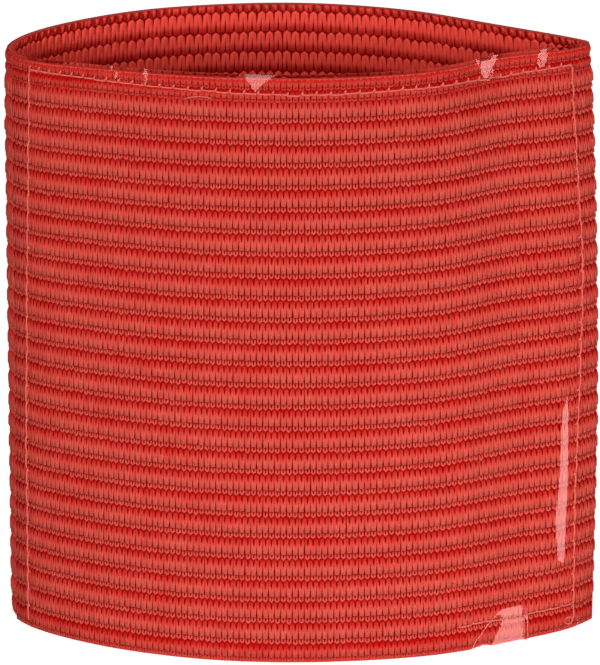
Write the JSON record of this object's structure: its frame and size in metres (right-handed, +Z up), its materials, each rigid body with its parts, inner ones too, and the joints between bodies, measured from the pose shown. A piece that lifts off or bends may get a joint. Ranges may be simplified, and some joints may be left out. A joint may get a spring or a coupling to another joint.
{
  "type": "armband",
  "caption": "Wide ribbed elastic armband, a closed loop standing on its edge, with a clear film window sewn over its front face.",
  "frame": {"origin": "on the surface that the band stands on, under the middle of its box", "axes": "+Z up along the arm's axis, from the foot edge to the top edge; the window faces -Y; +X is to the right seen from the front; the loop is pressed flat along Y"},
  "size_m": [0.1201, 0.0659, 0.1209],
  "materials": {
    "red_elastic": "ribbed knitted elastic, matt with a slight sheen on the yarns",
    "clear_vinyl": "soft clear vinyl film, glossy and slightly puckered at the seams",
    "sewing_thread": "light red polyester sewing thread"
  },
  "bodies": {
    "root": {"elastic_band": "red_elastic", "pocket_window": "clear_vinyl"}
  },
  "joints": []
}
